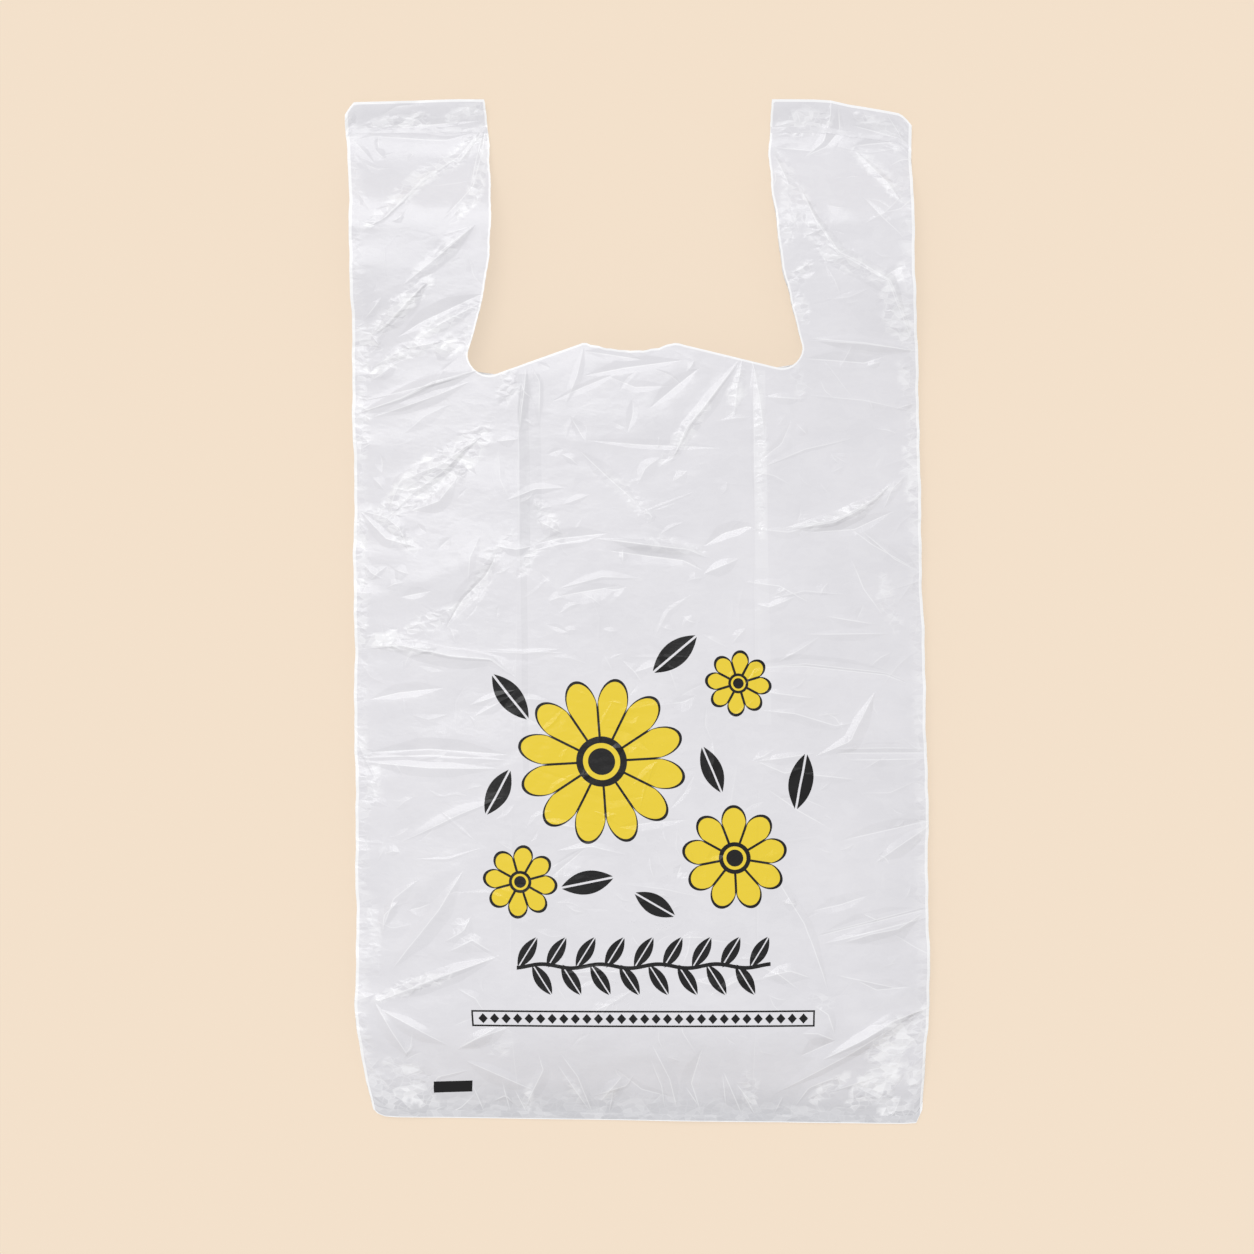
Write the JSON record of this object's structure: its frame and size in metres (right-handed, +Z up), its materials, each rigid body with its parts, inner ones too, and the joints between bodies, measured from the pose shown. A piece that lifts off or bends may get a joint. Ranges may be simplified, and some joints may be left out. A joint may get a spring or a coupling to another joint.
{
  "type": "plastic carrier bag",
  "caption": "Empty thin-film carrier bag lying flat: gusseted sides, welded ends, a wide cut-out mouth and a loop handle on each side.",
  "frame": {"origin": "middle of the footprint, on the surface that the back panel lies on", "axes": "+Y from the bottom weld to the tops of the handles, +Z up out of the front panel, +X to the right as the front is seen"},
  "size_m": [0.2988, 0.5288, 0.0222],
  "materials": {
    "film": "gloss"
  },
  "bodies": {
    "root": {"carrier_bag": "film"}
  },
  "joints": []
}
